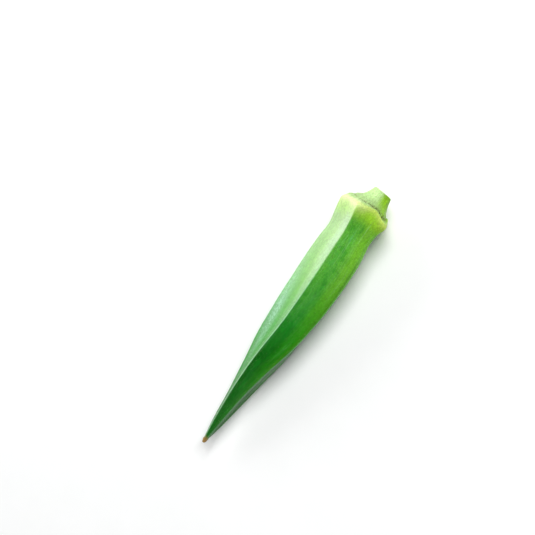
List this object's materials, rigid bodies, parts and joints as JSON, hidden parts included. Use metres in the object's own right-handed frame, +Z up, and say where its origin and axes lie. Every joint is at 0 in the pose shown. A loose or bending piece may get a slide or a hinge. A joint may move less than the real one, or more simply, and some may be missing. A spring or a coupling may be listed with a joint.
{
  "type": "okra pod",
  "caption": "Fresh whole okra pod with raised ridges, a flared shoulder, a calyx scar ring, a cut stalk and a pointed beak, lying on one flat side.",
  "frame": {"origin": "on the surface the pod lies on, under the middle of its bounding box", "axes": "+X along the pod from its beak to its cut stalk, +Z up with one ridge straight up, +Y to the side that the pod bends to"},
  "size_m": [0.12, 0.0224, 0.0206],
  "materials": {
    "pod_skin": "satin"
  },
  "bodies": {
    "root": {"okra_pod": "pod_skin"}
  },
  "joints": []
}
